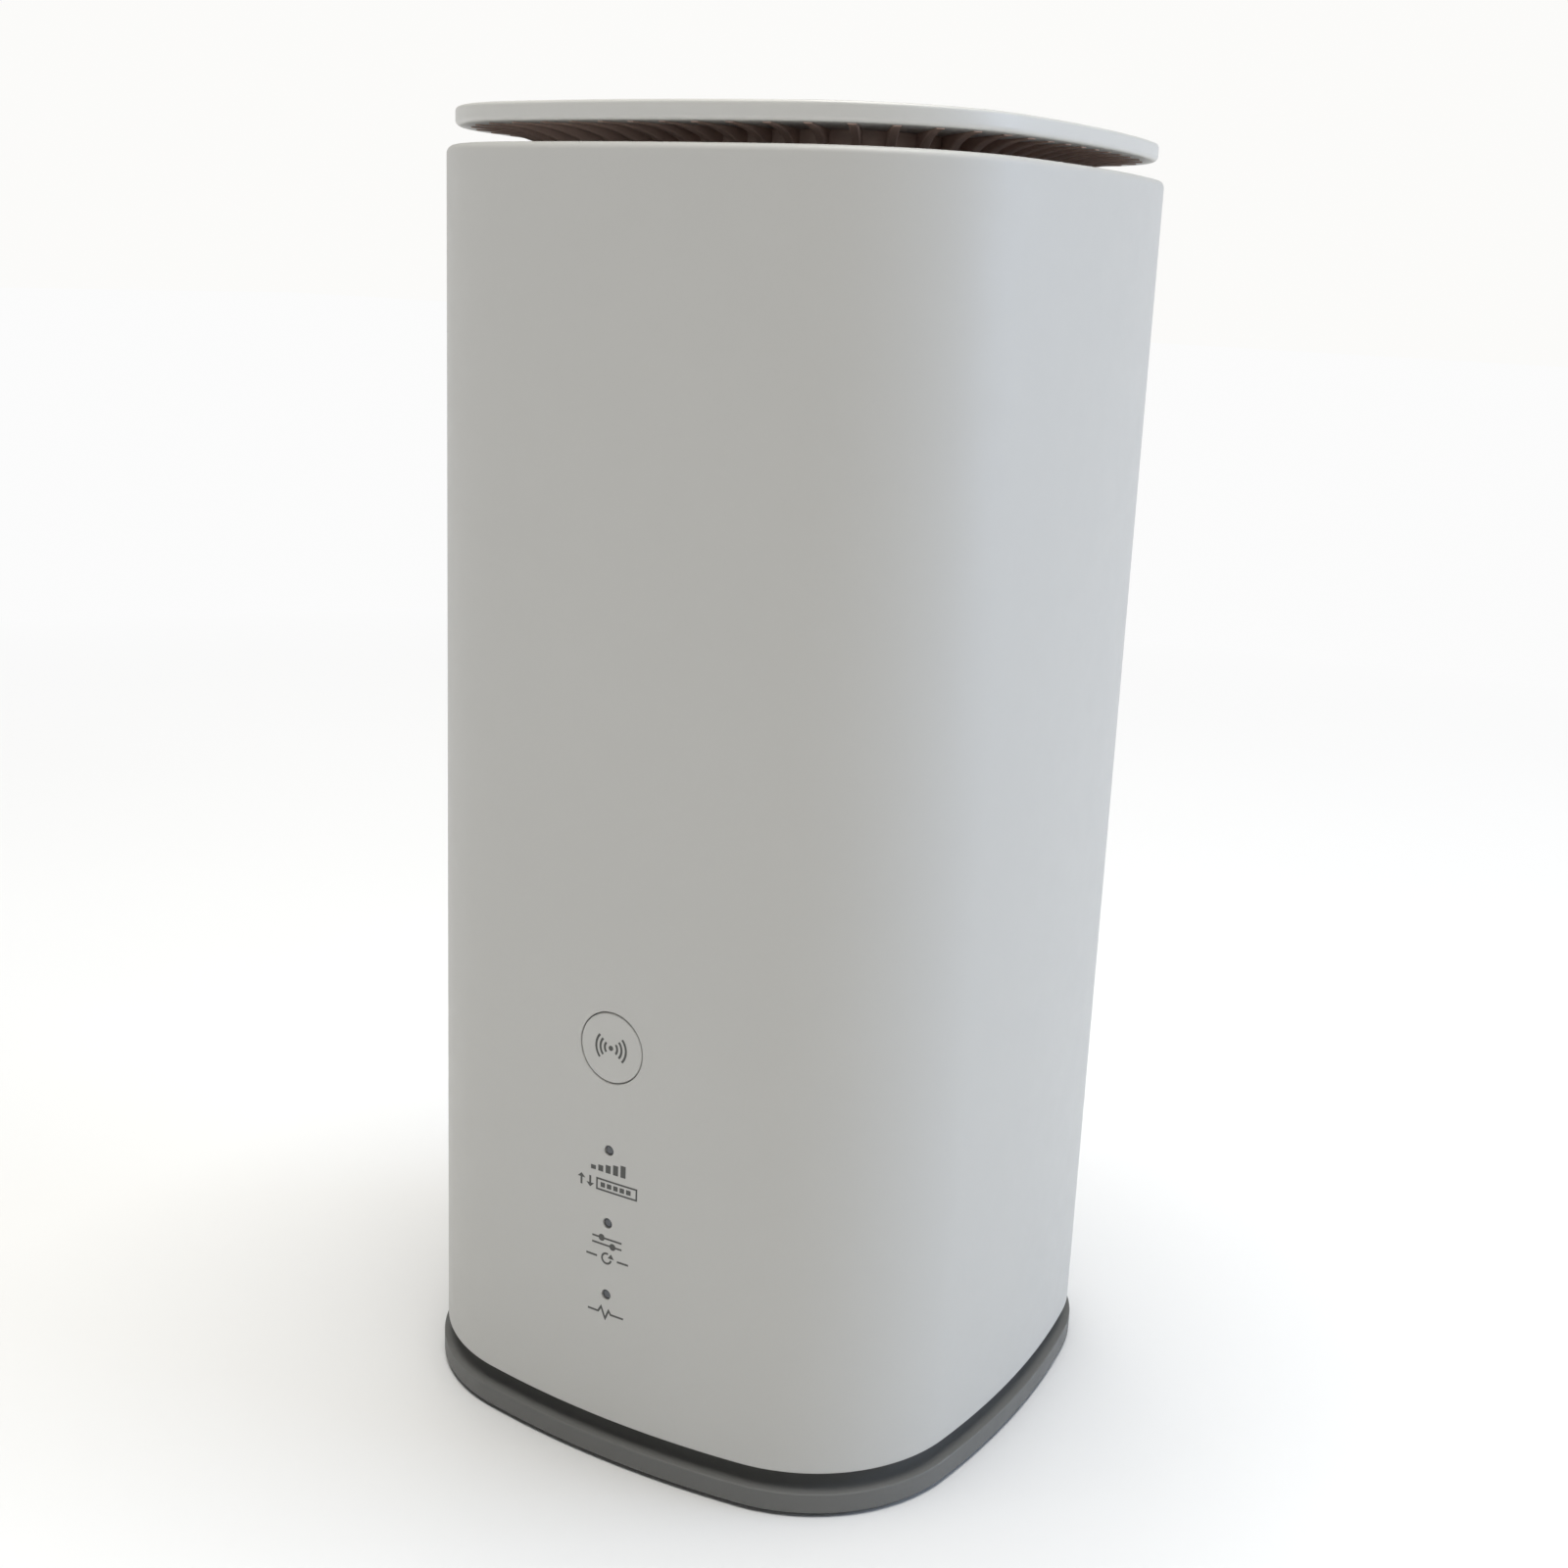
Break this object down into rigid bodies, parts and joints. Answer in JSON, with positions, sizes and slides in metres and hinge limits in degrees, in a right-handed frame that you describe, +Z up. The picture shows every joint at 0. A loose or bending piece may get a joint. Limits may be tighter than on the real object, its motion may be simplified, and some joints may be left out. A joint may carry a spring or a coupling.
{
  "type": "cable modem",
  "caption": "Tower-shaped home network gateway with bowed sides, a floating lid over a ring of vent ribs, a pairing button, status lamps and a recessed port panel.",
  "frame": {"origin": "centre of the footprint, on the surface the feet stand on", "axes": "+Z up the tower; -Y is the front with the button and lamps, +Y the back with the sockets, +X the right side as seen from the front"},
  "size_m": [0.1006, 0.1006, 0.207],
  "materials": {
    "shell_white": "fine satin moulded plastic",
    "grille_dark": "matt dark moulded plastic",
    "base_grey": "fine matt moulded plastic",
    "foot_rubber": "soft matt rubber",
    "screw_steel": "zinc-plated steel",
    "label_film": "printed film, left blank",
    "panel_white": "matt moulded plastic",
    "frame_plastic": "unfinished moulded plastic",
    "black_plastic": "satin moulded plastic",
    "plunger_red": "satin moulded plastic",
    "circuit_board": "solder mask on glass fibre",
    "clear_guide": "polished clear acrylic, smoked",
    "lamp_dome": "clear resin over a die",
    "connector_cream": "nylon",
    "cable_black": "vinyl jacket",
    "lead_white": "thin coaxial jacket",
    "can_steel": "tinned steel",
    "pad_grey": "soft thermal putty",
    "sink_aluminium": "extruded, plain",
    "contact_gold": "gold plating",
    "ferrite": "moulded ferrite",
    "capacitor_sleeve": "shrunk sleeve over a can",
    "foil_film": "flexible printed film"
  },
  "bodies": {
    "body": {"outer_shell": "shell_white", "top_lid": "shell_white", "vent_grille": "grille_dark", "base_housing": "base_grey", "base_plate": "base_grey", "foot_front_left": "foot_rubber", "foot_front_right": "foot_rubber", "foot_rear_left": "foot_rubber", "foot_rear_right": "foot_rubber", "base_screws": "screw_steel", "rating_plate": "label_film", "port_panel": "panel_white", "panel_screws": "screw_steel", "inner_frame": "frame_plastic", "frame_screws": "screw_steel", "grille_screws": "screw_steel", "wps_switch": "black_plastic", "ui_board": "circuit_board", "ui_screws": "screw_steel", "light_guide": "clear_guide", "lamp_signal": "lamp_dome", "lamp_mode": "lamp_dome", "lamp_status": "lamp_dome", "ui_socket": "connector_cream", "board_socket": "connector_cream", "ui_cable": "cable_black", "main_board": "circuit_board", "processor_shield": "can_steel", "wifi_shield": "can_steel", "modem_shield": "can_steel", "radio_shield": "can_steel", "thermal_pad_left": "pad_grey", "thermal_pad_right": "pad_grey", "heat_sink_left": "sink_aluminium", "heat_sink_right": "sink_aluminium", "heat_sink_screws": "screw_steel", "lan_jack_lower": "black_plastic", "lan_jack_upper": "black_plastic", "lan_shield_lower": "can_steel", "lan_shield_upper": "can_steel", "lan_contacts_lower": "contact_gold", "lan_contacts_upper": "contact_gold", "lan_magnetics": "ferrite", "dc_inlet": "black_plastic", "dc_pin": "screw_steel", "reset_switch": "black_plastic", "sim_socket": "can_steel", "power_inductors": "ferrite", "bulk_capacitors": "capacitor_sleeve", "antenna_front_left": "foil_film", "antenna_front_right": "foil_film", "antenna_rear_left": "foil_film", "antenna_rear_right": "foil_film", "wifi_antennas": "foil_film", "antenna_leads": "lead_white"},
    "button": {"wps_button": "shell_white"},
    "plunger": {"wps_plunger": "plunger_red"},
    "reset": {"reset_plunger": "panel_white"},
    "sim_door": {"sim_cover": "base_grey"}
  },
  "joints": [
    {"name": "button_press", "type": "slide", "parent": "body", "child": "button", "axis": [0, 1, 0], "range_m": [0, 0.0004], "stiffness_N_per_m": 800, "springref_m": -0.001},
    {"name": "switch_press", "type": "slide", "parent": "body", "child": "plunger", "axis": [0, 1, 0], "range_m": [0, 0.0004]},
    {"name": "reset_press", "type": "slide", "parent": "body", "child": "reset", "axis": [0, -1, 0], "range_m": [0, 0.0003], "stiffness_N_per_m": 500, "springref_m": -0.001},
    {"name": "sim_door_hinge", "type": "hinge", "parent": "body", "child": "sim_door", "pos_m": [0, -0.0226, 0.00175], "axis": [-1, 0, 0], "range_deg": [0, 90]}
  ],
  "couplings": [
    {"joint": "switch_press", "follows": "button_press", "ratio": 1}
  ]
}
